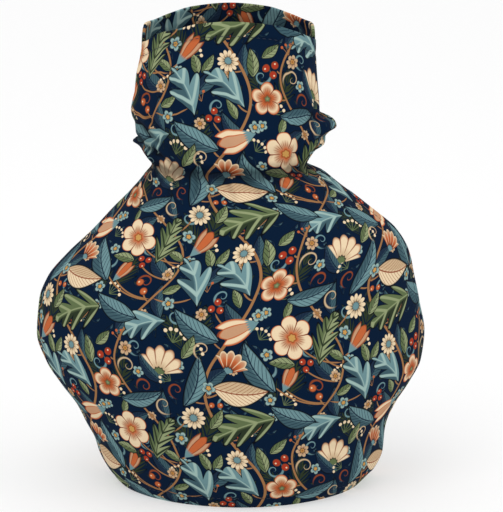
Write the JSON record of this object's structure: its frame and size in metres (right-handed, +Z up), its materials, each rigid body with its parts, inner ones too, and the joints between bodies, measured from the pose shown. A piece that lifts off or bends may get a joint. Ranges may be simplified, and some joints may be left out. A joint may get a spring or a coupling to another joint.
{
  "type": "tea cosy",
  "caption": "Fitted tea cosy with a gathered neck, a tall open sleeve, two side openings and an open hem, standing by itself.",
  "frame": {"origin": "on the surface the hem stands on, under the middle of the bounding box", "axes": "+Z up along the sleeve, -Y out of the front panel, +X to the right of someone who faces the front panel"},
  "size_m": [0.1917, 0.156, 0.2374],
  "materials": {
    "printed_cotton": "matt printed cotton with thin wadding: dark navy ground with blue-green, olive, cream, coral and rust flowers and leaves"
  },
  "bodies": {
    "root": {"front_panel": "printed_cotton", "back_panel": "printed_cotton"}
  },
  "joints": []
}
